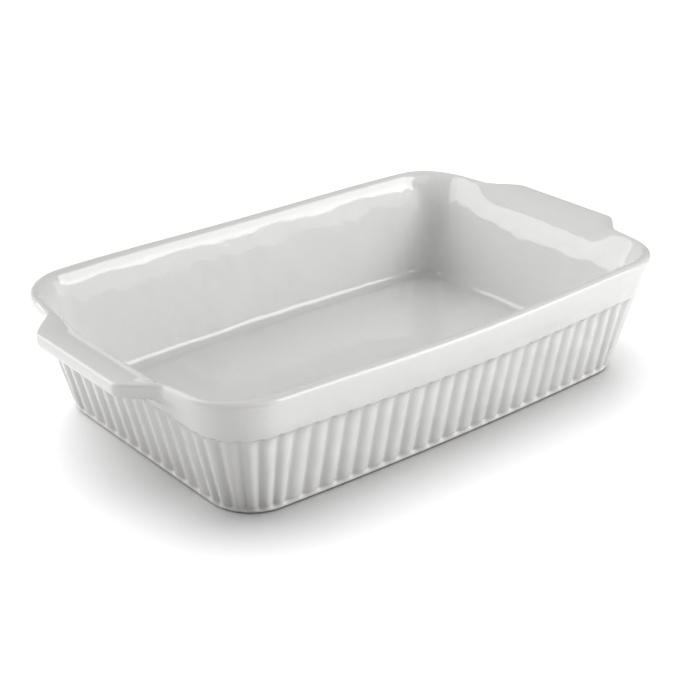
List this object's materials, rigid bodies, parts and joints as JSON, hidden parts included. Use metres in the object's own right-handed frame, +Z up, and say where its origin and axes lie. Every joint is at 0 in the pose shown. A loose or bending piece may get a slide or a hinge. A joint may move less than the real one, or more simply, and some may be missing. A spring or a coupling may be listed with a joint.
{
  "type": "lasagna dish",
  "caption": "Rectangular white glazed stoneware baking dish with a fluted tapering wall, a plain rim band, lug handles drawn out of the end rims and a low unglazed foot ring.",
  "frame": {"origin": "middle of the plane that the foot ring stands on", "axes": "+X from the left handle to the right handle, +Y from the front long side to the back, +Z up"},
  "size_m": [0.3794, 0.2262, 0.0762],
  "materials": {
    "white_glaze": "high-gloss white glaze, slightly thinner on ribs and edges",
    "bare_foot": "matt, wiped bare of glaze"
  },
  "bodies": {
    "root": {"floor_plate": "white_glaze", "wall_front": "white_glaze", "wall_back": "white_glaze", "wall_left": "white_glaze", "wall_right": "white_glaze", "wall_front_left": "white_glaze", "wall_front_right": "white_glaze", "wall_back_left": "white_glaze", "wall_back_right": "white_glaze", "rim_front": "white_glaze", "rim_back": "white_glaze", "rim_front_left": "white_glaze", "rim_front_right": "white_glaze", "rim_back_left": "white_glaze", "rim_back_right": "white_glaze", "handle_left": "white_glaze", "handle_right": "white_glaze", "foot_front": "bare_foot", "foot_back": "bare_foot", "foot_left": "bare_foot", "foot_right": "bare_foot", "foot_front_left": "bare_foot", "foot_front_right": "bare_foot", "foot_back_left": "bare_foot", "foot_back_right": "bare_foot"}
  },
  "joints": []
}
